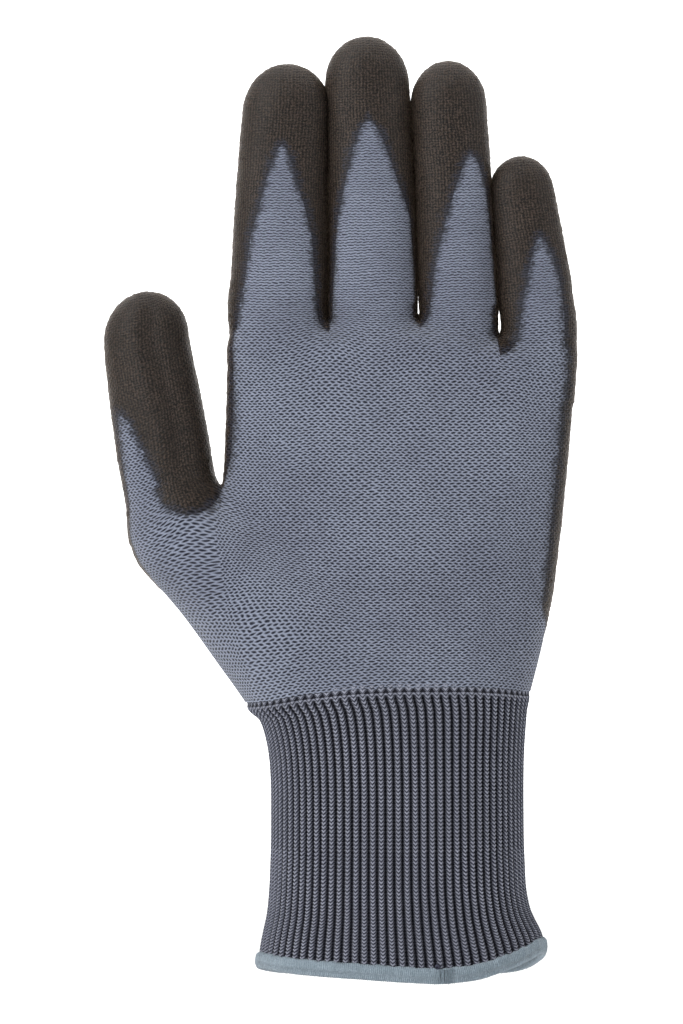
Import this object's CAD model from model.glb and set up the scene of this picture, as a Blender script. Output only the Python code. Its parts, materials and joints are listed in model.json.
import json
import math

import bpy
import numpy as np
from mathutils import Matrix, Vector


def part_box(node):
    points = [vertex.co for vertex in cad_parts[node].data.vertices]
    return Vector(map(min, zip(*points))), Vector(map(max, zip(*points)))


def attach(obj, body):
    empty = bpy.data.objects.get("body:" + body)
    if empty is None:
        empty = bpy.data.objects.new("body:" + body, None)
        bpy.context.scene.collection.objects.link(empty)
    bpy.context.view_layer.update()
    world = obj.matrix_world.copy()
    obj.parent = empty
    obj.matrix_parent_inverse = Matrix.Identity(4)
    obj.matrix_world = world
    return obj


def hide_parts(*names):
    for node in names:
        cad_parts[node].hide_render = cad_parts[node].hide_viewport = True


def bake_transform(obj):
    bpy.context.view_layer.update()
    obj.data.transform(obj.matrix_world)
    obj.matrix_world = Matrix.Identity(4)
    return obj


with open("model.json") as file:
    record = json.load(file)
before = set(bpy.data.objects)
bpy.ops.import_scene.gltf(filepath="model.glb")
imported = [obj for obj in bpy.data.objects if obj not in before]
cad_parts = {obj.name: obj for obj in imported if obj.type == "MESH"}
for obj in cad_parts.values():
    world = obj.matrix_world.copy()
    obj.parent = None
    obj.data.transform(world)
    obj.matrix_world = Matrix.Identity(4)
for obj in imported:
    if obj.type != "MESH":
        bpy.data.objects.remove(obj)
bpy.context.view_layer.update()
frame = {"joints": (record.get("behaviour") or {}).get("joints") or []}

# A right-hand knitted glove, its fingers up and its back towards the camera. Shapes are worked out in
# millimetres in the frame's own axes, and turned into metres when a mesh is made.

MM = 0.001
rng = np.random.default_rng(7)

# ---- places read from the frame ----

JOINTS = {j["name"]: j for j in frame["joints"]}


def box_mm(node):
    low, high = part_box(node)
    return np.array(low) / MM, np.array(high) / MM


def joint_mm(name):
    return np.array(JOINTS[name]["pos_m"]) / MM


WRIST_Z = box_mm("wrist_transition_courses")[1][2]      # top of the transition courses
RIB_TOP = box_mm("wrist_transition_courses")[0][2]
HEM_TOP = box_mm("cuff_hem_binding")[1][2]
CUFF_FOLD_Z = box_mm("wrist_rib_fold")[0][2]

# ---- shape of each finger ----
# Heights count from the finger's own crotch, which is "knuckle" below its first joint.
# widths: (height, full width). bow: (height, offset to the right). depths: (height, back, palm).
# arch: (height, offset to the right, half width) of the bare knit on the back. zones: (low, high) of each bend.
# splay: degrees by which the finger is spread while the surface is made. round: length of the domed tip.
# power: how square the section is. root: how far the finger runs on below its crotch.

FINGERS = {
    "index": {
        "knuckle": 7.0, "splay": -9.0, "round": 12.5, "power": 2.25, "root": 12.0,
        "widths": [(-12, 25), (0, 25.5), (6, 25.9), (20, 25.0), (42, 23.6), (58, 22.6)],
        "bow": [(0, 0.1), (30, 0.1), (50, 0.6), (62, 1.1)],
        "depths": [(-12, 9.0, 9.5), (0, 10.4, 10.8), (30, 9.8, 10.0), (58, 8.6, 9.4)],
        "arch": [(-2, -0.2, 10.6), (4, 0.0, 9.9), (10, 0.1, 9.1), (24, 0.2, 7.7), (31, 0.2, 5.9),
                 (38, -0.3, 4.0), (43, -0.5, 2.5), (46, -0.5, 1.3), (47.6, -0.5, 0)],
        "zones": [(1.0, 13.0), (19.5, 33.5), (41.5, 54.5)],
    },
    "middle": {
        "knuckle": 7.0, "splay": -3.0, "round": 12.5, "power": 2.25, "root": 12.0,
        "widths": [(-12, 22), (0, 22.8), (6, 23.6), (24, 22.9), (48, 22.4), (64, 21.6)],
        "bow": [(0, 0.0), (40, -0.1), (60, -0.4), (72, -0.6)],
        "depths": [(-12, 8.5, 9.5), (0, 9.8, 10.2), (34, 9.6, 9.8), (64, 8.6, 9.2)],
        "arch": [(-2, 0.6, 10.9), (12, 0.9, 10.4), (28, 1.0, 9.3), (38.7, 0.2, 6.4), (46.6, 0, 4.2),
                 (51, 0, 2.6), (53.0, 0, 1.2), (54, 0, 0)],
        "zones": [(1.0, 13.0), (21.5, 35.5), (45.0, 59.0)],
    },
    "ring": {
        "knuckle": 7.0, "splay": 3.0, "round": 11.5, "power": 2.25, "root": 12.0,
        "widths": [(-12, 19), (0, 20.2), (6, 20.5), (22, 20.3), (44, 20.0), (58, 19.4)],
        "bow": [(0, 0.0), (40, -0.2), (60, -0.5)],
        "depths": [(-12, 8.0, 9.0), (0, 8.8, 9.4), (30, 8.8, 9.2), (58, 8.2, 8.8)],
        "arch": [(-2, 2.0, 9.6), (18, 2.9, 7.7), (29, 4.1, 5.9), (37, 4.8, 4.2), (42, 4.9, 2.4),
                 (44.6, 4.8, 1.2), (45.6, 4.7, 0)],
        "zones": [(1.0, 13.0), (19.5, 33.5), (41.5, 54.5)],
    },
    "little": {
        "knuckle": 6.0, "splay": 9.0, "round": 9.5, "power": 2.2, "root": 12.0,
        "widths": [(-12, 18.6), (0, 19.8), (6, 19.5), (16, 19.2), (32, 17.6), (42, 16.4)],
        "bow": [(-6, 0.1), (8, 0.7), (18, 0.9), (30, 0.2), (42, -0.4)],
        "depths": [(-12, 7.5, 8.5), (0, 8.0, 8.6), (20, 7.6, 8.0), (42, 6.8, 7.2)],
        "arch": [(-2, 0.4, 6.4), (12.4, 1.9, 5.2), (21, 2.6, 3.6), (25, 2.8, 2.3), (27.8, 2.9, 1.1),
                 (29, 2.9, 0)],
        "zones": [(1.0, 11.0), (15.5, 25.5), (30.5, 41.0)],
    },
    "thumb": {
        "knuckle": 7.5, "splay": 0.0, "round": 12.0, "power": 2.2, "root": 9.0,
        "widths": [(-14, 20.0), (-8, 22.4), (0, 24.0), (12, 24.3), (26, 23.6), (42, 22.0)],
        "bow": [(-10, -1.4), (10, -1.7), (38, -1.8), (54, -0.6)],
        "depths": [(-14, 10.5, 11.0), (0, 10.4, 10.8), (14, 9.6, 10.2), (30, 9.8, 10.4), (42, 9.0, 9.8)],
        "arch": [],
        "zones": [(0.0, 15.0), (23.0, 39.0)],
    },
}
LONG_FINGERS = ["index", "middle", "ring", "little"]
PARTS = {name: ["lower", "upper", "tip"] for name in LONG_FINGERS}
PARTS["thumb"] = ["lower", "tip"]
TIP_GAP = 0.2           # the knit's tip stays this far under the top of the CAD's film
FOLDS = {"lower": "knuckle_fold", "upper": "mid_fold", "tip": "tip_fold"}

for name, finger in FINGERS.items():
    first = joint_mm(name + "_lower_bend")
    last = joint_mm(name + "_tip_bend")
    tip_low, tip_high = box_mm(name + "_tip_liner")
    up = (last - first) / np.linalg.norm(last - first)
    side = np.array([up[2], 0.0, -up[0]])
    base = first - up * finger["knuckle"]
    base[1] = (tip_low[1] + tip_high[1]) / 2
    finger["base"], finger["up"], finger["side"] = base, up, side
    finger["length"] = (box_mm(name + "_tip_coating")[1][2] - base[2]) / up[2] - TIP_GAP
    a = math.radians(finger["splay"])
    turn = np.array([[math.cos(a), 0, math.sin(a)], [0, 1, 0], [-math.sin(a), 0, math.cos(a)]])
    finger["open_up"], finger["open_side"] = turn @ up, turn @ side


def smooth(x):
    """A smooth step from 0 to 1 as x goes from 0 to 1."""
    x = np.clip(x, 0, 1)
    return x * x * (3 - 2 * x)


def straight(points, x, column=1):
    """A line of straight runs through hand-set points (first value against the one in column)."""
    return np.interp(x, [p[0] for p in points], [p[column] for p in points])


CURVE_STEPS = 200
CURVE_WINDOW = 25       # steps that are averaged where a curve's runs meet


def curve(points, x, column=1):
    """As straight, with its corners rounded."""
    fine = np.linspace(points[0][0], points[-1][0], CURVE_STEPS)
    rough = straight(points, fine, column)
    kernel = np.hanning(CURVE_WINDOW)
    padded = np.pad(rough, CURVE_WINDOW, "edge")
    soft = np.convolve(padded, kernel / kernel.sum(), "same")[CURVE_WINDOW:-CURVE_WINDOW]
    return np.interp(x, fine, soft)


# ---- distance fields ----

def oval_distance(x, y, half_x, half_y, power, cap=0.0, cap_height=1.0):
    """Distance, near enough, to an oval tube closed by a dome, along which cap rises from 0."""
    u, v = np.abs(x) / half_x, np.abs(y) / half_y
    rho = np.maximum((u ** power + v ** power) ** (1 / power), 1e-3)
    gx = (u / rho) ** (power - 1) / half_x
    gy = (v / rho) ** (power - 1) / half_y
    round_rho = np.sqrt(rho ** 2 + cap ** 2)
    slope = np.sqrt((rho / round_rho) ** 2 * (gx ** 2 + gy ** 2) + (cap / round_rho / cap_height) ** 2)
    return (round_rho - 1) / np.maximum(slope, 0.02)


def soft_join(a, b, reach):
    """The union of two fields, with a fillet."""
    h = np.clip(0.5 + 0.5 * (b - a) / reach, 0, 1)
    return b + (a - b) * h - reach * h * (1 - h)


def finger_local(finger, p, opened):
    """A point's place across, through and along a finger."""
    rel = p - finger["base"]
    up, side = (finger["open_up"], finger["open_side"]) if opened else (finger["up"], finger["side"])
    s = rel @ up
    return rel @ side - curve(finger["bow"], s), rel[:, 1], s


def finger_field(finger, p, opened=True):
    x, y, s = finger_local(finger, p, opened)
    shoulder = finger["length"] - finger["round"]
    half = curve(finger["widths"], s) / 2
    depth = np.where(y < 0, curve(finger["depths"], s, 1), curve(finger["depths"], s, 2))
    cap = np.maximum(s - shoulder, 0) / finger["round"]
    field = oval_distance(x, y, half, depth, finger["power"], cap, finger["round"])
    return np.maximum(field, -s - finger["root"])


# the hand without its thumb: (height, left edge, right edge, back, palm, squareness)
HAND = [
    (74, -38.0, 32.8, -22.0, 22.5, 2.05),
    (80, -39.0, 34.4, -20.8, 22.6, 2.1),
    (90, -42.0, 37.1, -18.4, 22.0, 2.15),
    (104, -45.5, 39.8, -16.2, 20.5, 2.25),
    (122, -47.6, 42.0, -14.4, 18.0, 2.35),
    (140, -46.5, 43.7, -13.4, 15.6, 2.5),
    (155, -46.0, 44.9, -12.6, 13.8, 2.6),
    (172, -45.3, 45.2, -11.4, 12.2, 2.7),
]
HAND_TOP = FINGERS["little"]["base"][2] + 3.2       # at the little finger
STEP_UP = 3.2           # the other fingers' crotches are this much higher
STEP_X = 22.0           # where that step begins
TOP_ROUND = 7.0
THUMB_ROOT = [(-57.3, 4.6, 118.4, 14.2), (-26.0, 3.0, 88.5, 18.0)]     # two balls: centre and radius
THUMB_ROOT_DEPTH = 1.12


def hand_oval(z):
    """Middle x and y, half width and half depth of the hand's section at each height."""
    left, right, back, palm = (curve(HAND, z, column) for column in (1, 2, 3, 4))
    return (left + right) / 2, (back + palm) / 2, (right - left) / 2, (palm - back) / 2


def palm_field(p):
    x, y, z = p.T
    middle_x, middle_y, half_x, half_y = hand_oval(z)
    top = HAND_TOP + STEP_UP * smooth((STEP_X - x) / 8)
    cap = np.maximum(z - (top - TOP_ROUND), 0) / TOP_ROUND
    return oval_distance(x - middle_x, y - middle_y, half_x, half_y, curve(HAND, z, 5), cap, TOP_ROUND)


def root_field(p):
    """The ball of the thumb: a cone between two balls."""
    (x0, y0, z0, r0), (x1, y1, z1, r1) = THUMB_ROOT
    a, b = np.array([x0, y0, z0]), np.array([x1, y1, z1])
    q = p.copy()
    q[:, 1] = y0 + (q[:, 1] - y0) / THUMB_ROOT_DEPTH
    along = np.clip((q - a) @ (b - a) / ((b - a) @ (b - a)), 0, 1)
    centre = a + along[:, None] * (b - a)
    return np.linalg.norm(q - centre, axis=1) - (r0 + (r1 - r0) * along)


THUMB_FILLET = 5.0
CROTCH_FILLET = 3.5


def glove_field(p):
    """The whole hand, its fingers spread a little so that no two touch."""
    thumb = soft_join(root_field(p), finger_field(FINGERS["thumb"], p), THUMB_FILLET)
    # the thumb's web is tight at its top, and its ball tightens again towards the wrist
    web = 3.0 + 7.0 * smooth((130 - p[:, 2]) / 14) - 4.5 * smooth((102 - p[:, 2]) / 22)
    body = soft_join(palm_field(p), thumb, web)
    field = body
    for name in LONG_FINGERS:
        field = np.minimum(field, soft_join(body, finger_field(FINGERS[name], p), CROTCH_FILLET))
    return field


# the line where the knit meets the ribs, by x, as a height above WRIST_Z
WRIST_LINE = [(-43, -3.9), (-36, -3.0), (-27, -1.2), (-14, 0.4), (0, 1.1), (18, 1.0), (28, 0.2), (35, -0.9)]
WRIST_REACH = 24.0


def wrist_sag(x, z):
    """How far the fabric near the wrist is pulled up or down."""
    return curve(WRIST_LINE, x) * (1 - smooth(np.abs(z - WRIST_Z) / WRIST_REACH))


# ---- from a field to a mesh ----

CELL = 0.75


def surface_net(field, low, high, cell):
    """Points and quads on the zero level of a field."""
    counts = np.ceil((high - low) / cell).astype(int) + 1
    axes = [low[i] + cell * np.arange(counts[i]) for i in range(3)]
    values = np.empty(counts, np.float32)
    yy, zz = np.meshgrid(axes[1], axes[2], indexing="ij")
    for i, x in enumerate(axes[0]):
        layer = np.stack([np.full(yy.size, x), yy.ravel(), zz.ravel()], 1)
        values[i] = field(layer).reshape(yy.shape)
    inside = values < 0
    corners = [(i, j, k) for i in (0, 1) for j in (0, 1) for k in (0, 1)]
    n = np.array(counts) - 1
    count = sum(inside[i:i + n[0], j:j + n[1], k:k + n[2]].astype(np.int8) for i, j, k in corners)
    cells = np.argwhere((count > 0) & (count < 8))
    index = np.full(n, -1, np.int32)
    index[tuple(cells.T)] = np.arange(len(cells))
    total, hits = np.zeros((len(cells), 3)), np.zeros(len(cells))
    for a in corners:
        for axis in range(3):
            if a[axis]:
                continue
            b = list(a)
            b[axis] = 1
            va = values[tuple((cells + a).T)]
            vb = values[tuple((cells + b).T)]
            cross = (va < 0) != (vb < 0)
            t = np.where(cross, va / np.where(cross, va - vb, 1), 0)
            point = np.array(a, float)[None, :].repeat(len(cells), 0)
            point[:, axis] += t
            total[cross] += point[cross]
            hits += cross
    points = low + cell * (cells + total / hits[:, None])

    quads = []
    for axis in range(3):
        u, v = (axis + 1) % 3, (axis + 2) % 3
        here = [slice(None)] * 3
        there = [slice(None)] * 3
        here[axis], there[axis] = slice(0, -1), slice(1, None)
        change = inside[tuple(here)] != inside[tuple(there)]
        edges = np.argwhere(change)
        ok = (edges[:, u] > 0) & (edges[:, v] > 0) & (edges[:, u] < n[u]) & (edges[:, v] < n[v])
        edges = edges[ok]
        flip = inside[tuple(edges.T)]
        ring = []
        for du, dv in ((-1, -1), (0, -1), (0, 0), (-1, 0)):
            c = edges.copy()
            c[:, u] += du
            c[:, v] += dv
            ring.append(index[tuple(c.T)])
        ring = np.array(ring).T
        ring[~flip] = ring[~flip][:, ::-1]
        quads.append(ring)
    return points, np.concatenate(quads)


def gradient(field, p, step=0.15):
    """The field's values and slopes at points."""
    f0 = field(p)
    g = np.empty_like(p)
    for axis in range(3):
        q = p.copy()
        q[:, axis] += step
        g[:, axis] = (field(q) - f0) / step
    return f0, g


def project(field, p, rounds, most, level=False):
    """Moves points on to a field's surface, at most this many gradients a round; level keeps their heights."""
    for _ in range(rounds):
        f0, g = gradient(field, p)
        if level:
            g[:, 2] = 0
        p = p - g * (f0 / np.maximum((g * g).sum(1), 0.05))[:, None].clip(-most, most)
    return p


def relax(points, quads, rounds):
    """Evens out a mesh's points; its open rim stays."""
    edges = np.concatenate([quads[:, [i, (i + 1) % 4]] for i in range(4)])
    keys = np.sort(edges, 1)
    _, where, uses = np.unique(keys, axis=0, return_inverse=True, return_counts=True)
    rim = np.unique(edges[uses[where.ravel()] == 1])
    for _ in range(rounds):
        total = np.zeros_like(points)
        count = np.zeros(len(points))
        np.add.at(total, edges[:, 0], points[edges[:, 1]])
        np.add.at(count, edges[:, 0], 1)
        moved = total / np.maximum(count, 1)[:, None]
        moved[rim] = points[rim]
        points = points * 0.4 + moved * 0.6
    return points


def add_object(name, data):
    made = bpy.data.objects.new(name, data)
    bpy.context.scene.collection.objects.link(made)
    return made


def mesh_object(name, points_mm, faces, material, normals=None, uv=None, attributes=None):
    """A mesh from points in millimetres, with a UV per point or corner and float attributes per point."""
    mesh = bpy.data.meshes.new(name)
    mesh.vertices.add(len(points_mm))
    mesh.vertices.foreach_set("co", (points_mm * MM).astype(np.float32).ravel())
    sides = faces.shape[1]
    mesh.loops.add(faces.size)
    mesh.loops.foreach_set("vertex_index", faces.astype(np.int32).ravel())
    mesh.polygons.add(len(faces))
    mesh.polygons.foreach_set("loop_start", np.arange(0, faces.size, sides, dtype=np.int32))
    mesh.polygons.foreach_set("loop_total", np.full(len(faces), sides, np.int32))
    mesh.update(calc_edges=True)
    mesh.shade_smooth()
    if uv is not None:
        layer = mesh.uv_layers.new(name="stitches")
        corner_uv = uv if uv.shape[0] == faces.size else uv[faces.ravel()]
        layer.data.foreach_set("uv", corner_uv.astype(np.float32).ravel())
    for key, values in (attributes or {}).items():
        layer = mesh.attributes.new(key, "FLOAT", "POINT")
        layer.data.foreach_set("value", values.astype(np.float32))
    if normals is not None:
        mesh.normals_split_custom_set_from_vertices(normals)
    mesh.materials.append(material)
    return add_object(name, mesh)


# ---- the knitted hand and fingers ----

def tube_faces(rows, count, closed=False):
    """Quads between rows of points that go all the way round, the last row to the first where it's closed."""
    n = rows * count
    starts = np.arange(rows if closed else rows - 1)[:, None] * count
    i = starts + np.arange(count)
    j = starts + (np.arange(count) + 1) % count
    return np.stack([i, (i + count) % n, (j + count) % n, j], -1).reshape(-1, 4)


def build_surface():
    """The knitted hand as points, quads and normals, its fingers still spread."""
    low = np.array([-88.0, -27.0, WRIST_Z + 0.3])
    high = np.array([66.0, 29.0, 257.0])
    points, quads = surface_net(glove_field, low, high, CELL)
    points = relax(points, quads, 3)
    points = project(glove_field, points, 3, 1)
    _, g = gradient(glove_field, points)
    normals = g / np.maximum(np.linalg.norm(g, axis=1), 1e-6)[:, None]
    return points, quads, normals


def close_fingers(points, normals):
    """Brings the spread fingers together, each turning about its own base."""
    fields = np.stack([finger_field(FINGERS[n], points) for n in LONG_FINGERS], 1)
    nearest = fields.argmin(1)
    for i, name in enumerate(LONG_FINGERS):
        finger = FINGERS[name]
        mine = np.flatnonzero((nearest == i) & (fields[:, i] < 4.0))
        s = finger_local(finger, points[mine], True)[2]
        turn = -math.radians(finger["splay"]) * smooth(s / 14.0)
        c, sn = np.cos(turn), np.sin(turn)
        rel = points[mine] - finger["base"]
        points[mine, 0] = finger["base"][0] + rel[:, 0] * c + rel[:, 2] * sn
        points[mine, 2] = finger["base"][2] - rel[:, 0] * sn + rel[:, 2] * c
        nx, nz = normals[mine, 0].copy(), normals[mine, 2].copy()
        normals[mine, 0] = nx * c + nz * sn
        normals[mine, 2] = -nx * sn + nz * c
    return nearest


WALE = 1.70             # one column of stitches
COURSE = 0.72           # one row


def around(x, y, half_x, half_y):
    """Length along an oval from the nearer of its two flat middles to a point on it."""
    flat = np.maximum(half_x - half_y, 0)
    over = np.maximum(np.abs(x) - flat, 0)
    angle = np.arctan2(over, np.abs(y) + 1e-6)
    beyond = np.maximum(np.abs(x) - half_x, 0)
    return np.sign(x) * (np.minimum(np.abs(x), flat) + half_y * angle + beyond)


# how far the knit's rows are pulled up to each crotch
CROTCHES = [("index", "middle", 3.4), ("middle", "ring", 2.4), ("ring", "little", 1.8)]
THUMB_PULL = (-56.5, 122.5, 3.0)        # x, z and pull of the rows below the thumb's film


def between(a, b):
    """The crotch between two neighbouring fingers, as (x, z)."""
    fa, fb = FINGERS[a], FINGERS[b]
    x = ((fa["base"] + fa["side"] * curve(fa["widths"], 0.0) / 2)[0]
         + (fb["base"] - fb["side"] * curve(fb["widths"], 0.0) / 2)[0]) / 2
    return x, min(fa["base"][2], fb["base"][2])


def stitch_map(points, owner):
    """Each point's place in the knit, counted in stitches: across (wales) and up (courses)."""
    x, y, z = points.T
    middle_x, middle_y, half_x, half_y = hand_oval(z)
    u = middle_x + around(x - middle_x, y - middle_y, half_x, half_y)
    v = z.copy()

    def pull(cx, cz, amount, wide, tall):
        return amount * np.exp(-((x - cx) / wide) ** 2) * np.exp(-np.maximum(cz - z, 0) / tall)

    for a, b, amount in CROTCHES:
        v -= pull(*between(a, b), amount, 9.0, 16.0)
    for i, name in enumerate(LONG_FINGERS + ["thumb"]):
        finger = FINGERS[name]
        fx, fy, s = finger_local(finger, points, False)
        half = curve(finger["widths"], s) / 2
        depth = (curve(finger["depths"], s, 1) + curve(finger["depths"], s, 2)) / 2
        fu = finger["base"][0] + around(fx, fy, half, depth)
        fv = finger["base"][2] + s
        if name == "thumb":
            weight = owner["thumb"] * smooth((z - 86) / 26)
        else:
            weight = np.where(owner["finger"] == i, smooth((s + 7) / 14), 0) * (1 - owner["thumb"])
        u = u + (fu - u) * weight
        v = v + (fv - v) * weight
    v = v - pull(*THUMB_PULL, 8.0, 12.0)
    return np.stack([u / WALE, v / COURSE], 1)


# the cloth's waves: direction, length and start of each
WAVES = [(rng.normal(size=3), rng.uniform(9, 24), rng.uniform()) for _ in range(16)]
WAVE_BACK = 0.06        # their height on the back of the hand
WAVE_PALM = 0.14        # and what the palm has more


def undulation(points, normals):
    """The cloth's gentle unevenness, stronger on the palm; none on the fingers' flanks or at the wrist."""
    lift = np.zeros(len(points))
    for direction, length, start in WAVES:
        phase = points @ (direction / np.linalg.norm(direction)) / length + start
        lift += np.sin(2 * np.pi * phase)
    palm_side = smooth((points[:, 1] + 4) / 10)
    facing = normals[:, 1] ** 2 * smooth((points[:, 2] - WRIST_Z) / 12)
    return lift / math.sqrt(len(WAVES) / 2) * (WAVE_BACK + WAVE_PALM * palm_side) * facing


# height and half width of the ridge up the thumb's back, and depth, half width and place of its hollow
RIDGE = (0.55, 3.0)
HOLLOW = (0.60, 2.4, 5.0)


def thumb_crease(points, normals, owner):
    """A low ridge up the back of the thumb, with a hollow on its right."""
    fx, _, s = finger_local(FINGERS["thumb"], points, False)
    across = fx + 1.5 - 1.5 * np.sin(s / 9.0)
    lift = RIDGE[0] * np.exp(-(across / RIDGE[1]) ** 2)
    lift = lift - HOLLOW[0] * np.exp(-((across - HOLLOW[2]) / HOLLOW[1]) ** 2)
    back = np.maximum(-normals[:, 1], 0) ** 2
    return lift * back * smooth(owner["thumb"] * 2 - 1) * smooth((s - 2) / 8)


def make_uneven(points, normals, owner, step=0.1):
    """Lifts the points and tilts their normals to suit."""
    def lift(p):
        return undulation(p, normals) + thumb_crease(p, normals, owner)

    rises = [lift(points + step * axis) - lift(points - step * axis) for axis in np.eye(3)]
    slope = np.stack(rises, -1) / (2 * step)
    slope -= normals * (slope * normals).sum(1)[:, None]
    tilted = normals - slope
    return points + normals * lift(points)[:, None], tilted / np.linalg.norm(tilted, axis=1)[:, None]


def oval_depth(x, half, depth):
    """An oval's depth at x."""
    return depth * np.sqrt(np.clip(1 - (x / half) ** 2, 0, 1))


# (x, y) of the film's edge on the hand's two sides
FILM_SIDES = [(-80, 0.6), (-62, 0.4), (-50, -3.6), (-44, -4.7), (38, -5.2), (46, -6.0)]
FILM_BOTTOM = 12.0      # the film stops this far above the ribs


def film_border(points, owner):
    """How far inside the film a point is, in millimetres; below 0 it's on bare knit."""
    x, y, z = points.T
    wrap = straight(FILM_SIDES, x)
    wrap = wrap + 9 * smooth((112 - z) / 16) * smooth((20 - x) / 20)
    wrap = wrap + 10 * smooth((101 - z) / 12) * smooth((x - 10) / 20)
    wrap = wrap + 6 * np.exp(-((x + 49) / 6) ** 2 - ((z - 127) / 8) ** 2)
    lower_edge = RIB_TOP + FILM_BOTTOM + 1.5 * np.sin(x / 9.0) + 0.8 * np.sin(x / 3.7 + 1)
    border = np.minimum(y - wrap, z - lower_edge)
    for i, name in enumerate(LONG_FINGERS):
        finger = FINGERS[name]
        fx, fy, s = finger_local(finger, points, False)
        half = curve(finger["widths"], s) / 2
        depth = curve(finger["depths"], s, 1)
        centre, bare = straight(finger["arch"], s), straight(finger["arch"], s, 2)
        beyond = np.maximum(s - finger["arch"][-1][0], 0)
        at = around(fx, fy, half, depth)
        edge = around(np.clip(bare, 0, half - 0.2), oval_depth(bare, half, depth), half, depth)
        mid = around(centre, oval_depth(centre, half, depth), half, depth)
        on_back = np.abs(at - mid) - edge + beyond
        on_palm = 2 * around(half, 0 * half, half, depth) - np.abs(at) - edge
        mine = np.where(fy < 0, on_back, on_palm) + 2.2 * np.minimum(s + 1.0, 0)
        use = (owner["finger"] == i) & (owner["thumb"] < 0.5) & (s > -8)
        border = np.where(use, np.where(s > 6, mine, np.maximum(border, mine)), border)
    return thumb_border(points, owner, border)


# the bare tongue on the thumb: (height along it, left edge, right edge)
TONGUE = [(-30, -16.0, -1.2), (2, -12.2, -2.0), (6, -11.7, -3.2), (13, -11.0, -5.2), (20, -10.6, -7.4),
          (23.5, -10.0, -10.3), (28, -7.0, -15.0)]
LOBE = (5.4, 2.0, 8.8, 8.6)     # the film's rounded end: middle across and along, half width and half height


def thumb_border(points, owner, border):
    """The film on the thumb: all of it but a tongue of bare knit up the outer side of its back."""
    fx, fy, s = finger_local(FINGERS["thumb"], points, False)
    lobe = (1 - np.hypot((fx - LOBE[0]) / LOBE[2], (s - LOBE[1]) / LOBE[3])) * LOBE[2]
    over_lobe = np.where(s > LOBE[1], fx - straight(TONGUE, s, 2), lobe)
    on_back = np.maximum(over_lobe, straight(TONGUE, s) - fx)
    on_side = np.maximum(on_back, fy + 1.5 - 5.0 * smooth(s / 20.0))
    blend = smooth(owner["thumb"] * 2.5) * smooth((s + 14) / 8.0)
    clipped = np.clip(on_side, -6, 6)
    return np.where(blend > 0, np.maximum(border, clipped * blend - 6 * (1 - blend)), border)


CLOSE_REACH = 3.5       # a neighbour this near begins to darken a finger

points, quads, normals = build_surface()
nearest = close_fingers(points, normals)
thumb_near = np.minimum(root_field(points), finger_field(FINGERS["thumb"], points, False))
palm_near = palm_field(points)
finger_fields = np.array([finger_field(FINGERS[n], points, False) for n in LONG_FINGERS])
finger_near = finger_fields.min(0)
finger_fields[nearest, np.arange(len(points))] = np.inf
close = smooth(1 - finger_fields.min(0) / CLOSE_REACH)          # 1 where the next finger is against this one
thumb_share = smooth(0.5 + (np.minimum(palm_near, finger_near) - thumb_near) / 16.0)
thumb_share[finger_local(FINGERS["index"], points, False)[2] > -6] *= 0
thumb_clear = (finger_field(FINGERS["thumb"], points, False) < 1.5) & (points[:, 0] < -46)
thumb_share[thumb_clear & (points[:, 2] > 132)] = 1
owner = {"finger": nearest, "thumb": thumb_share}
uv = stitch_map(points, owner)
border = film_border(points, owner)
points, normals = make_uneven(points, normals, owner)
points[:, 2] += wrist_sag(points[:, 0], points[:, 2])

# which piece each quad belongs to: "hand", or a finger and its part
label = np.zeros(len(quads), int)
labels = ["hand"]
on_thumb = thumb_clear[quads].all(1)
for i, name in enumerate(LONG_FINGERS + ["thumb"]):
    s = finger_local(FINGERS[name], points, False)[2][quads].max(1)
    mine = on_thumb if name == "thumb" else (nearest[quads[:, 0]] == i) & ~on_thumb
    zones = FINGERS[name]["zones"]
    starts = [zones[0][0]] + [(a[1] + b[0]) / 2 + 0.4 for a, b in zip(zones, zones[1:])]
    for part, start in zip(PARTS[name], starts):
        labels.append((name, part))
        label[mine & (s > start)] = len(labels) - 1

FILM_ROUGHNESS = 0.07    # random lift of the film's surface
FILM_THICK = 0.28
FILM_FADE = 1.1          # the film thins out over this much of its edge
FILM_UNDER = 1.3         # and its mesh runs on this far, under the knit
film_lumps = rng.normal(size=len(points)) * FILM_ROUGHNESS
film_lift = FILM_THICK * np.clip(border / FILM_FADE, -1.2, 1) + film_lumps * smooth(border)


def place(piece, where):
    """Rides the hand, or blends across the joint that a finger's part hangs from."""
    if where == "hand":
        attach(piece, "hand")
        return
    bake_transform(piece)


def build_skin(name, chosen, lift, material):
    """The chosen quads of the hand's surface as a mesh, lifted off it."""
    used, faces = np.unique(quads[chosen], return_inverse=True)
    lifted = points[used] + normals[used] * lift[used][:, None]
    marks = {"border": border[used], "close": close[used]}
    return mesh_object(name, lifted, faces.reshape(-1, 4), material, normals[used], uv[used], marks)


def build_hand_pieces(knit_material, film_material):
    for number, where in enumerate(labels):
        title = "hand" if where == "hand" else where[0] + "_" + where[1]
        chosen = label == number
        knit = build_skin(title + "_knit", chosen, 0 * border, knit_material)
        filmed = chosen & (border[quads].max(1) > -FILM_UNDER)
        film = build_skin(title + "_film", filmed, film_lift, film_material)
        if where == "hand":
            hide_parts("hand_knit_liner")
            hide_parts("palm_coating")
        else:
            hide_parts(title + "_liner", where[0] + "_" + FOLDS[where[1]])
            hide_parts(title + "_coating")
        place(knit, where)
        place(film, where)


# ---- the ribbed cuff ----

RIBS = 80
RIB_STITCH = 1.0        # height of a rib's stitch
RIB_DEPTH = 0.95
TRIANGLES = 1.2         # the row of openings above the ribs, in millimetres below the rim
LIGHT_ROW = 1.8         # the plain row below them
MEET_WRIST = 72.5       # the ribs lead from here to the knitted hand's rim
STEPS_ACROSS = np.array([-0.5, -0.41, -0.30, -0.12, 0.12, 0.30, 0.41])     # one rib's columns of points
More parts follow.
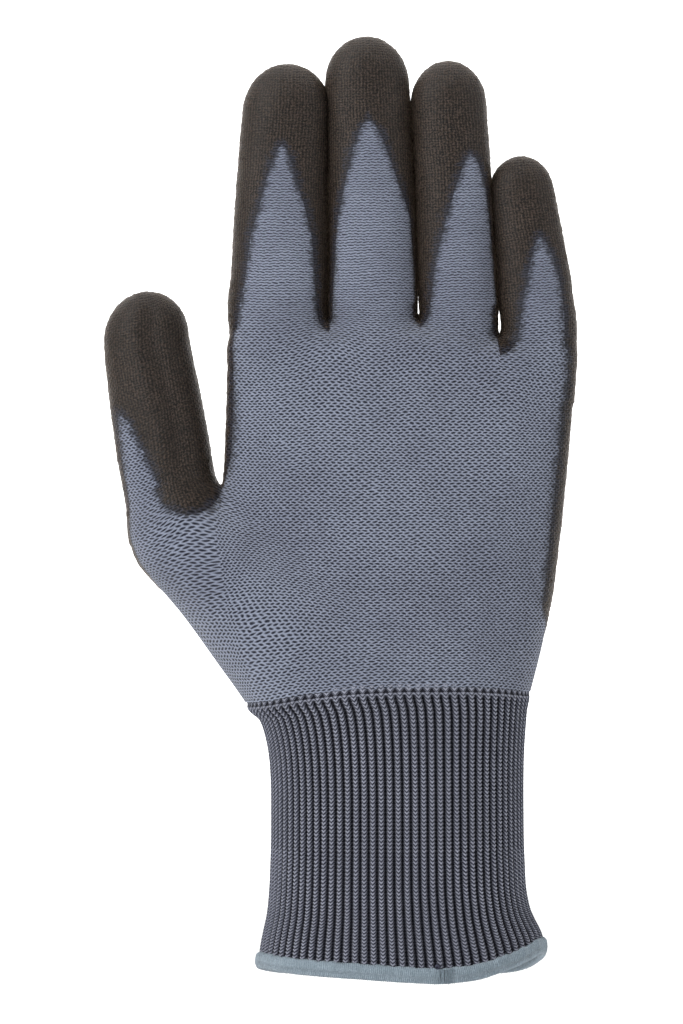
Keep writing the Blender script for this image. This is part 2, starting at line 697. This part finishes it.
# (height, left edge, right edge, half depth)
CUFF = [
    (-1, -38.2, 37.9, 25.0), (6, -37.7, 37.4, 24.8), (12, -36.7, 35.6, 24.2), (18, -35.6, 33.9, 23.6),
    (26, -35.0, 32.7, 23.2), (38, -34.6, 32.2, 22.9), (52, -34.6, 32.1, 22.8), (60, -35.0, 32.2, 22.7),
    (66, -35.8, 32.5, 22.5), (71, -36.9, 32.9, 22.3), (75, -38.5, 33.2, 22.1), (79, -41.0, 33.5, 22.0),
]
RIB_HALF_DEPTH, RIB_HALF_WIDTH = 22.9, 33.5     # the ribs are evenly spaced round an oval of this size
# height of the hem's lower edge at the back of the hand, by x: it dips right of the middle
HEM_EDGE = [(-38, 5.0), (-34, 4.7), (-26, 4.2), (-13, 3.7), (0, 2.9), (10, 2.3), (20, 3.2), (31, 6.5),
            (38, 9.6)]
HEM_JOIN = 3.6          # the ribs start this high, before they're led to the hem's own line
HEM_OVERLAP = 2.4       # and end this far above the hem's lower edge
HEM_REACH = 24.0        # the leading is spread over this height


def hem_edge(x, y):
    """Height of the hem's lower edge; on the palm side it comes down again."""
    palm_side = smooth((y + 8.0) / 32.0)
    return curve(HEM_EDGE, x) * (1 - palm_side) + 1.0 * palm_side


def to_hem(x, y, z):
    """How far the ribs at a point move to meet the hem."""
    return (hem_edge(x, y) + HEM_OVERLAP - HEM_JOIN) * (1 - smooth((z - HEM_JOIN) / HEM_REACH))


def even_angles(half_x, half_y, shares):
    """Angles that divide an ellipse evenly by length."""
    fine = np.linspace(0, 2 * np.pi, 4001)
    length = np.cumsum(np.hypot(np.diff(half_x * np.cos(fine)), np.diff(half_y * np.sin(fine))))
    length = np.concatenate([[0], length])
    return np.interp(np.mod(shares, 1.0) * length[-1], length, fine)


def cuff_ring(z, shares):
    """Points and outward normals round the cuff at each height and share of the way round."""
    left, right, depth = curve(CUFF, z, 1), curve(CUFF, z, 2), curve(CUFF, z, 3)
    angle = even_angles(RIB_HALF_DEPTH, RIB_HALF_WIDTH, shares) + np.pi / 2
    half = (right - left) / 2
    x = (left + right) / 2 + half * np.cos(angle)
    y = depth * np.sin(angle)
    nx, ny = np.cos(angle) / half, np.sin(angle) / depth
    size = np.hypot(nx, ny)
    return np.stack([x, y, z + 0 * x], -1), np.stack([nx / size, ny / size, 0 * nx], -1)


def wrist_ring(shares):
    """Where the knitted hand's lower rim lies, at each share of the way round."""
    ring, _ = cuff_ring(np.full(len(shares), WRIST_Z), shares)
    return project(glove_field, ring, 4, 3, level=True)


def rib_relief(across, rise):
    """Height of the rib's surface: V stitches stand up, with a furrow between columns."""
    half = 0.23 + 0.23 * rise
    furrow = smooth((np.abs(across) - half + 0.06) / 0.12)
    crown = 0.30 * (across / 0.4) ** 2
    groove = 0.10 * np.exp(-(across / 0.07) ** 2)
    return -RIB_DEPTH * furrow - (crown + groove) * (1 - furrow)


def rib_grid(name, low, high, material):
    """A tube of ribs, with real V-edged furrows, from low to high."""
    rows = int(round((high - low) / (RIB_STITCH / 4))) + 1
    one_row = ((np.arange(RIBS)[:, None] + STEPS_ACROSS[None, :]) / RIBS).ravel()
    count = len(one_row)
    across = np.tile(STEPS_ACROSS, RIBS * rows)
    z = np.repeat(np.linspace(low, high, rows), count)
    share = np.tile(one_row, rows)
    base, normal = cuff_ring(z, share)
    near_wrist = smooth((z - MEET_WRIST) / (WRIST_Z - MEET_WRIST))[:, None]
    base[:, :2] += (np.tile(wrist_ring(one_row), (rows, 1)) - base)[:, :2] * near_wrist
    stitch = z / RIB_STITCH
    depth = rib_relief(across, np.mod(stitch, 1.0))
    below = WRIST_Z + 0.5 - z
    depth = depth * (0.3 + 0.7 * smooth((below - TRIANGLES) / 1.5)) - 0.15 * smooth(1.5 - below)
    pts = base + normal * depth[:, None]
    pts[:, 2] += wrist_sag(pts[:, 0], z)
    pts[:, 2] += to_hem(base[:, 0], base[:, 1], z)
    faces = tube_faces(rows, count)[:, [0, 3, 2, 1]]
    corner = closed_uv(np.stack([share * RIBS, stitch], 1), faces, RIBS)
    return mesh_object(name, pts, faces, material, uv=corner, attributes={"below": below})


def closed_uv(uv_point, faces, period):
    """A UV per face corner, its seam put right where the pattern comes round."""
    corner = uv_point[faces.ravel()].reshape(-1, 4, 2)
    across = corner[:, :, 0]
    seam = across.max(1) - across.min(1) > period / 2
    across[seam] += period * (across[seam] < period / 2)
    return corner.reshape(-1, 2)


# ---- materials ----

class Graph:
    """Short names for building a node material."""

    def __init__(self, name):
        self.material = bpy.data.materials.new(name)
        self.material.use_nodes = True
        self.tree = self.material.node_tree
        self.tree.nodes.clear()
        self.output = self.tree.nodes.new("ShaderNodeOutputMaterial")
        self.shader = self.tree.nodes.new("ShaderNodeBsdfPrincipled")
        self.tree.links.new(self.shader.outputs[0], self.output.inputs[0])

    def join(self, source, target):
        if isinstance(source, (int, float, tuple)):
            target.default_value = source
        else:
            self.tree.links.new(source, target)

    def node(self, kind, inputs=None, **settings):
        """A new node, with its settings, and its inputs joined or given a value."""
        made = self.tree.nodes.new(kind)
        for key, value in settings.items():
            setattr(made, key, value)
        for key, source in (inputs or {}).items():
            self.join(source, made.inputs[key])
        return made

    def math(self, operation, *values):
        return self.node("ShaderNodeMath", dict(enumerate(values)), operation=operation).outputs[0]

    def plus(self, a, b):
        return self.math("ADD", a, b)

    def minus(self, a, b):
        return self.math("SUBTRACT", a, b)

    def times(self, a, b):
        return self.math("MULTIPLY", a, b)

    def times_plus(self, a, b, c):
        return self.math("MULTIPLY_ADD", a, b, c)

    def fract(self, a):
        return self.math("FRACT", a)

    def centred(self, value):
        return self.minus(value, 0.5)

    def between(self, value, low, high, to_low=0.0, to_high=1.0):
        inputs = {"Value": value, "From Min": low, "From Max": high, "To Min": to_low, "To Max": to_high}
        return self.node("ShaderNodeMapRange", inputs, interpolation_type="SMOOTHSTEP").outputs[0]

    def mix(self, share, a, b, blend="MIX"):
        inputs = {"Factor": share, "A": a, "B": b}
        return self.node("ShaderNodeMix", inputs, data_type="RGBA", blend_type=blend).outputs["Result"]

    def oval(self, x, y, x_rate, y_rate):
        """Distance from the middle of an oval."""
        wide = self.times(x, x_rate)
        tall = self.times(y, y_rate)
        return self.math("SQRT", self.times_plus(wide, wide, self.times(tall, tall)))

    def noise(self, vector, scale, detail=2.0, roughness=0.5):
        inputs = {"Vector": vector, "Scale": scale, "Detail": detail, "Roughness": roughness}
        return self.node("ShaderNodeTexNoise", inputs).outputs["Fac"]

    def bump(self, height, distance, normal=None):
        made = self.node("ShaderNodeBump", {"Strength": 1.0, "Distance": distance, "Height": height})
        if normal is not None:
            self.join(normal, made.inputs["Normal"])
        return made.outputs[0]

    def stitches(self):
        """The stitch map's two coordinates, apart and together."""
        uv_node = self.node("ShaderNodeUVMap", uv_map="stitches")
        split = self.node("ShaderNodeSeparateXYZ", {0: uv_node.outputs[0]})
        return split.outputs[0], split.outputs[1], uv_node.outputs[0]

    def stretched(self, vector, scale):
        return self.node("ShaderNodeVectorMath", {0: vector, 1: scale}, operation="MULTIPLY").outputs[0]

    def per_stitch(self, u, v):
        """A random value for each stitch."""
        place = {0: self.math("FLOOR", self.times(u, 2.0)), 1: self.math("FLOOR", v)}
        vector = self.node("ShaderNodeCombineXYZ", place).outputs[0]
        made = self.node("ShaderNodeTexWhiteNoise", {"Vector": vector}, noise_dimensions="2D")
        return made.outputs["Value"]

    def ragged(self, u, v, vector, patch_scale, per_stitch, reach):
        """The film's border as the knit's stitches and the dip make it, reach times as uneven."""
        patch = self.noise(self.position(), patch_scale, 3.0, 0.6)
        stitch = self.noise(vector, 0.8, 1.0)
        uneven = self.plus(self.centred(patch), self.centred(stitch))
        uneven = self.times_plus(self.centred(self.per_stitch(u, v)), per_stitch, uneven)
        return self.times_plus(uneven, reach, self.attribute("border"))

    def attribute(self, name):
        return self.node("ShaderNodeAttribute", attribute_name=name).outputs["Fac"]

    def position(self):
        return self.node("ShaderNodeTexCoord").outputs["Object"]

    def finish(self, colour, roughness, normal, sheen=0.0, sheen_rough=0.5, specular=0.5):
        self.join(colour, self.shader.inputs["Base Color"])
        self.join(roughness, self.shader.inputs["Roughness"])
        self.join(normal, self.shader.inputs["Normal"])
        self.shader.inputs["Sheen Weight"].default_value = sheen
        self.shader.inputs["Sheen Roughness"].default_value = sheen_rough
        self.shader.inputs["Specular IOR Level"].default_value = specular
        return self.material


def linear(r, g, b):
    """An everyday 0-255 colour as the shader wants it."""
    shares = [c / 255 for c in (r, g, b)]
    return tuple(((c + 0.055) / 1.055) ** 2.4 if c > 10 / 255 else c / 12.92 for c in shares) + (1.0,)


def plain_knit(g):
    """A plain knit's height, 0 in its staggered lens-shaped holes and 1 on the yarn."""
    u, v, vector = g.stitches()
    drift = g.noise(g.position(), 90.0, 2.0, 0.5)
    jitter = g.noise(vector, 0.9, 1.0, 0.5)
    u = g.plus(u, g.times_plus(drift, 1.2, g.times(jitter, 0.35)))
    v = g.plus(v, g.times_plus(drift, 1.6, g.times(jitter, 0.45)))
    row = g.math("FLOOR", v)
    odd = g.math("MODULO", g.math("ABSOLUTE", row), 2.0)
    along = g.centred(g.fract(g.times_plus(odd, 0.5, u)))
    column = g.math("ABSOLUTE", along)
    across = g.centred(g.fract(v))
    slant = g.times(along, g.times_plus(odd, 0.8, -0.4))
    across = g.plus(across, slant)
    open_height = g.between(g.oval(column, across, 1.95, 2.2), 0.32, 1.12)
    tight_height = g.between(g.oval(column, across, 0.9, 3.0), 0.10, 1.05)
    on_finger = g.between(v, 224.0, 262.0)
    height = g.times_plus(g.minus(tight_height, open_height), on_finger, open_height)
    return height, u, v, vector


def knit_material():
    g = Graph("hand_knit")
    height, u, v, vector = plain_knit(g)
    fibre = g.noise(vector, 2.2, 3.0, 0.75)
    broad = g.noise(g.position(), 40.0, 3.0, 0.55)
    lift = g.times_plus(fibre, 0.85, g.times(height, 0.72))
    tone = g.between(lift, 0.38, 1.25)
    yarn = g.mix(tone, linear(12, 15, 28), linear(112, 118, 133))
    tint = g.mix(g.between(broad, 0.3, 0.7), linear(200, 198, 204), linear(255, 255, 255))
    shade = g.mix(0.5, yarn, tint, "MULTIPLY")
    soaked = g.between(g.ragged(u, v, vector, 260.0, 0.55, 2.4), -2.0, 0.5)
    colour = g.mix(g.times(soaked, 0.88), shade, linear(15, 15, 22))
    colour = g.mix(g.times(g.attribute("close"), 0.5), colour, linear(10, 10, 14))
    normal = g.bump(height, 0.00022)
    return g.finish(colour, 0.92, normal, sheen=0.12, sheen_rough=0.6, specular=0.10)


def film_material():
    g = Graph("coating")
    height, u, v, vector = plain_knit(g)
    grain = g.noise(g.position(), 2300.0, 3.0, 0.75)
    broad = g.noise(g.position(), 60.0, 3.0, 0.5)
    line = g.math("ABSOLUTE", g.centred(g.fract(g.times(u, 2.0))))
    wale = g.times(line, 2.0)
    tone = g.times_plus(grain, 0.95, g.times(height, 0.09))
    tone = g.times_plus(wale, 0.15, tone)
    dark = g.mix(g.between(tone, 0.48, 0.88), linear(2, 2, 2), linear(68, 57, 49))
    colour = g.mix(g.times(g.between(broad, 0.35, 0.65), 0.22), dark, linear(20, 16, 13))
    thin = g.between(g.ragged(u, v, vector, 320.0, 0.6, 2.6), 0.0, 2.4)
    soaked = g.mix(g.between(height, 0.2, 1.0), linear(6, 6, 10), linear(40, 41, 49))
    colour = g.mix(thin, soaked, colour)
    colour = g.mix(g.times(g.attribute("close"), 0.7), colour, linear(7, 6, 6))
    rough = g.between(grain, 0.25, 0.75, 0.34, 0.56)
    ridge = g.noise(g.stretched(vector, (1.0, 0.06, 1.0)), 0.9, 2.0, 0.5)
    knit_bump = g.bump(g.times_plus(wale, 0.5, g.times_plus(ridge, 1.6, height)), 0.00010)
    normal = g.bump(grain, 0.00010, knit_bump)
    made = g.finish(colour, rough, normal, sheen=0.13, sheen_rough=0.30, specular=0.15)
    g.shader.inputs["Sheen Tint"].default_value = (1.0, 0.74, 0.52, 1)
    return made


def rib_material():
    g = Graph("rib_knit")
    u, v, vector = g.stitches()
    below = g.attribute("below")
    across = g.math("ABSOLUTE", g.centred(g.fract(g.plus(u, 0.5))))
    rise = g.fract(v)
    in_ribs = g.between(below, LIGHT_ROW - 0.5, LIGHT_ROW + 0.4)
    edge = g.times_plus(rise, 0.25, 0.21)
    furrow = g.times(g.between(g.minus(across, edge), -0.03, 0.05), in_ribs)
    from_gap = g.minus(0.5, across)
    slope = g.times(below, 0.46 / TRIANGLES)
    opening = g.times(g.between(g.minus(slope, from_gap), -0.03, 0.05),
                     g.between(below, TRIANGLES - 0.15, TRIANGLES + 0.1, 1.0, 0.0))
    gap = g.math("MAXIMUM", furrow, opening)
    loop = g.fract(g.minus(v, g.times(across, 2.3)))
    strand = g.math("POWER", g.math("SINE", g.times(loop, math.pi)), 1.9)
    fibre = g.noise(vector, 5.0, 2.0, 0.7)
    patch = g.noise(g.position(), 300.0, 2.0, 0.6)
    broad = g.noise(g.position(), 50.0, 2.0, 0.6)
    lift = g.times_plus(fibre, 0.5, g.times(strand, 0.65))
    lift = g.times_plus(g.minus(1.0, in_ribs), 0.12, lift)
    yarn = g.mix(g.between(lift, 0.26, 0.98), linear(22, 24, 35), linear(128, 131, 144))
    yarn = g.mix(g.times(patch, 0.2), yarn, linear(68, 71, 82))
    yarn = g.mix(g.times(g.between(broad, 0.35, 0.65), 0.2), yarn, linear(50, 52, 62))
    colour = g.mix(gap, yarn, linear(10, 11, 20))
    height = g.times(strand, g.minus(1.0, gap))
    normal = g.bump(height, 0.00022)
    return g.finish(colour, 0.93, normal, sheen=0.08, sheen_rough=0.6, specular=0.08)


def hem_material():
    g = Graph("hem_thread")
    u, v, _ = g.stitches()
    turned = g.fract(g.times_plus(v, 0.35, u))
    thread = g.math("SINE", g.times(turned, math.pi))
    fibre = g.noise(g.position(), 2600.0, 3.0, 0.8)
    patch = g.noise(g.position(), 420.0, 3.0, 0.7)
    lift = g.times_plus(fibre, 0.75, g.times(thread, 0.2))
    colour = g.mix(g.between(lift, 0.25, 0.75), linear(77, 88, 96), linear(128, 141, 150))
    colour = g.mix(g.times(g.between(patch, 0.35, 0.7), 0.4), colour, linear(86, 97, 105))
    normal = g.bump(g.times_plus(fibre, 0.8, thread), 0.00012)
    return g.finish(colour, 0.88, normal, sheen=0.15, sheen_rough=0.5, specular=0.15)


def elastic_material():
    g = Graph("elastic_yarn")
    wrap = g.noise(g.position(), 1800.0, 2.0, 0.6)
    colour = g.mix(g.between(wrap, 0.3, 0.7), linear(20, 21, 32), linear(54, 56, 70))
    return g.finish(colour, 0.8, g.bump(wrap, 0.0001), specular=0.2)


# ---- hem ----

HEM_THREADS = 380
HEM_HALF = 2.1
HEM_OUT = 1.15
HEM_INSET = 0.35        # the band's middle lies this far inside the cuff's outline
HEM_TURNS = 20          # points round the band's section


def build_hem(material):
    """The rolled band of close thread round the mouth."""
    steps = HEM_THREADS * 4
    share = np.arange(steps) / steps
    ring, normal = cuff_ring(np.full(steps, 4.0), share)
    bottom = hem_edge(ring[:, 0], ring[:, 1])
    angle = np.linspace(0, 2 * np.pi, HEM_TURNS, endpoint=False)
    out = HEM_OUT * np.sign(np.cos(angle)) * np.abs(np.cos(angle)) ** 0.7
    up = HEM_HALF * np.sign(np.sin(angle)) * np.abs(np.sin(angle)) ** 0.8
    pts = np.empty((steps, HEM_TURNS, 3))
    phase = share * HEM_THREADS
    wobble = 0.10 * np.sin(share * 190.0) + 0.07 * np.sin(share * 431.0 + 1)
    wobble = wobble + 0.05 * rng.normal(size=steps)
    for k in range(HEM_TURNS):
        wave = 0.035 * np.cos(2 * np.pi * (phase + 0.15 * k)) + 0.03 * rng.normal(size=steps)
        reach = out[k] - HEM_INSET + (wave + 0.5 * wobble) * np.cos(angle[k])
        pts[:, k] = ring + normal * reach[:, None]
        pts[:, k, 2] = bottom + HEM_HALF + up[k] + (wave + wobble * (up[k] > 0)) * np.sin(angle[k])
    faces = tube_faces(steps, HEM_TURNS, closed=True)
    round_band = np.tile(np.arange(HEM_TURNS) * 8 / HEM_TURNS, steps)
    uv_point = np.stack([np.repeat(phase, HEM_TURNS), round_band], 1)
    corner = closed_uv(uv_point, faces, HEM_THREADS)
    piece = mesh_object("cuff_hem_binding_thread", pts.reshape(-1, 3), faces, material, uv=corner)
    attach(piece, "cuff")
    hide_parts("cuff_hem_binding")


def mouth_y(x, out):
    """The y of the mouth's back side at x, this far out from the hem's middle."""
    depth = curve(CUFF, 4.0, 3)
    half = (curve(CUFF, 4.0, 2) - curve(CUFF, 4.0, 1)) / 2
    return -depth * math.sqrt(max(0.0, 1 - (x / half) ** 2)) - out


def thread_curve(data, places):
    spline = data.splines.new("NURBS")
    spline.points.add(len(places) - 1)
    for point, (x, y, z) in zip(spline.points, places):
        point.co = (x * MM, y * MM, z * MM, 1)
    spline.order_u = 3
    spline.use_endpoint_u = True


TACK_X = 9.4
TACK_LOOPS = 9
MOUTH_BACK = -20.0      # y of the hem's back side, near enough for its height


def build_tack(material, dark_material):
    """A few loops of thread where the hem's stitching ends, and a dark knot above them."""
    tack = bpy.data.curves.new("hem_thread_tack_loops", "CURVE")
    knot = bpy.data.curves.new("hem_thread_knot", "CURVE")
    for k in range(TACK_LOOPS):
        x = TACK_X + 0.42 * k + 0.15 * rng.normal()
        z0 = hem_edge(x, MOUTH_BACK)
        lean = 0.5 * rng.normal()
        places = []
        for m, rise in enumerate([0.2, 1.1, 2.0, 2.9, 3.8]):
            y = mouth_y(x, 0.45 + 0.55 * math.sin(math.pi * (m + 0.5) / 5))
            places.append((x + lean * (m - 2) * 0.3, y, z0 + rise + 0.1 * rng.normal()))
        thread_curve(tack, places)
    z0 = hem_edge(TACK_X, MOUTH_BACK) + 4.6
    loop = []
    for a in (0, 1.3, 2.6, 3.9, 5.2, 6.5):
        y = mouth_y(TACK_X, 0.35 + 0.15 * math.sin(2 * a))
        loop.append((TACK_X - 0.5 + 0.55 * math.cos(a), y, z0 + 0.5 * math.sin(a)))
    thread_curve(knot, loop)
    for data, radius, look in ((tack, 0.00019, material), (knot, 0.0003, dark_material)):
        data.dimensions = "3D"
        data.bevel_depth = radius
        data.bevel_resolution = 2
        piece = add_object(data.name, data)
        data.materials.append(look)
        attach(piece, "cuff")
        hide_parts("hem_thread_tack")


FOLD_OVERLAP = 1.0      # the lower ribs stop this far below the wrist's fold


def build_cuff(material, yarn_material):
    cut = CUFF_FOLD_Z - FOLD_OVERLAP
    lower = rib_grid("cuff_rib_knit_outside", HEM_JOIN, cut, material)
    upper = rib_grid("wrist_rib_knit", cut, WRIST_Z + 1.4, material)
    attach(lower, "cuff")
    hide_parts("cuff_rib_knit")
    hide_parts("wrist_rib_fold", "wrist_transition_courses")
    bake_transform(upper)
    build_yarns(yarn_material)


YARN_PITCH = 4.0
YARN_RADIUS = 0.25
YARN_INSET = 1.9
YARN_STEPS = 180        # points round the cuff
YARN_TURNS = 6          # and round the yarn


def build_yarns(material):
    """Elastic rings laid into the inner side of the ribs."""
    share = np.arange(YARN_STEPS) / YARN_STEPS
    angle = np.arange(YARN_TURNS) * 2 * np.pi / YARN_TURNS
    points_all, faces_all = [], []
    for k, z in enumerate(np.arange(HEM_TOP + 6.0, CUFF_FOLD_Z - 2.0, YARN_PITCH)):
        ring, normal = cuff_ring(np.full(YARN_STEPS, z), share)
        ring[:, 2] += to_hem(ring[:, 0], ring[:, 1], z)
        offset = normal[:, None, :] * (YARN_RADIUS * np.cos(angle) - YARN_INSET)[None, :, None]
        pts = ring[:, None, :] + offset
        pts[:, :, 2] += YARN_RADIUS * np.sin(angle)
        points_all.append(pts.reshape(-1, 3))
        faces_all.append(tube_faces(YARN_STEPS, YARN_TURNS, closed=True) + k * YARN_STEPS * YARN_TURNS)
    yarns = mesh_object("cuff_elastic_rings", np.concatenate(points_all), np.concatenate(faces_all), material)
    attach(yarns, "cuff")
    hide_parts("cuff_elastic_yarns")


# ---- stage ----

FLOOR_DROP = 0.14       # the glove hangs clear of the floor
STAGE_RADIUS = 3.6
STAGE_HEIGHT = 4.5
STAGE_CURVE = 0.9       # radius of the bend from floor to wall
STAGE_SIDES = 72


def build_stage():
    """A round, seamless pale floor and wall, brighter behind the glove."""
    rows = [(0.01, 0.0), (STAGE_RADIUS - STAGE_CURVE, 0.0)]
    for k in range(1, 13):
        a = k / 12 * math.pi / 2
        r = STAGE_RADIUS - STAGE_CURVE + STAGE_CURVE * math.sin(a)
        rows.append((r, STAGE_CURVE - STAGE_CURVE * math.cos(a)))
    rows.append((STAGE_RADIUS, STAGE_HEIGHT))
    turn = np.arange(STAGE_SIDES) * 2 * np.pi / STAGE_SIDES
    verts = [(r * math.cos(a), r * math.sin(a), z - FLOOR_DROP) for r, z in rows for a in turn]
    faces = tube_faces(len(rows), STAGE_SIDES).tolist() + [tuple(range(STAGE_SIDES))]
    mesh = bpy.data.meshes.new("backdrop")
    mesh.from_pydata(verts, [], faces)
    mesh.shade_smooth()
    backdrop = add_object("backdrop", mesh)
    g = Graph("backdrop")
    split = g.node("ShaderNodeSeparateXYZ", {0: g.position()})
    g.join(g.between(split.outputs[1], 1.6, 3.2, 0.10, 1.0), g.shader.inputs["Emission Strength"])
    g.shader.inputs["Emission Color"].default_value = (1, 1, 1, 1)
    g.shader.inputs["Base Color"].default_value = (0.9, 0.9, 0.9, 1)
    g.shader.inputs["Roughness"].default_value = 0.9
    g.shader.inputs["Specular IOR Level"].default_value = 0.1
    mesh.materials.append(g.material)


def area_light(name, place, target, size, power):
    data = bpy.data.lights.new(name, "AREA")
    data.shape = "RECTANGLE"
    data.size, data.size_y = size
    data.energy = power
    light = add_object(name, data)
    light.location = place
    light.rotation_mode = "QUATERNION"
    light.rotation_quaternion = (Vector(target) - Vector(place)).to_track_quat("-Z", "Y")


def build_lights():
    world = bpy.data.worlds.new("studio")
    world.use_nodes = True
    background = world.node_tree.nodes["Background"]
    background.inputs[0].default_value = (1, 1, 1, 1)
    background.inputs[1].default_value = 0.12
    bpy.context.scene.world = world
    area_light("key", (-0.85, -0.75, 0.75), (0, 0, 0.13), (0.5, 0.9), 21)
    area_light("fill", (1.0, -0.7, 0.45), (0, 0, 0.12), (0.4, 1.0), 5.5)
    area_light("back_wash", (0, 0.25, 1.3), (0, 0.9, 0.2), (2.0, 0.5), 22)
    bpy.context.scene.view_settings.view_transform = "Standard"


CAMERA_DISTANCE = 1.3
CAMERA_X = -0.01595
CAMERA_Z = 0.1247
FRAME_HEIGHT = 0.2700       # what the picture's height takes in at the glove's middle
SENSOR = 36


def build_camera():
    data = bpy.data.cameras.new("camera")
    data.sensor_width = SENSOR
    data.lens = SENSOR * CAMERA_DISTANCE / FRAME_HEIGHT
    data.clip_end = 20
    camera = add_object("camera", data)
    camera.location = (CAMERA_X, -CAMERA_DISTANCE, CAMERA_Z)
    camera.rotation_euler = (math.pi / 2, 0, 0)
    bpy.context.scene.camera = camera


build_camera()
build_lights()
build_stage()
build_hand_pieces(knit_material(), film_material())
hem_look = hem_material()
elastic_look = elastic_material()
build_cuff(rib_material(), elastic_look)
build_hem(hem_look)
build_tack(hem_look, elastic_look)
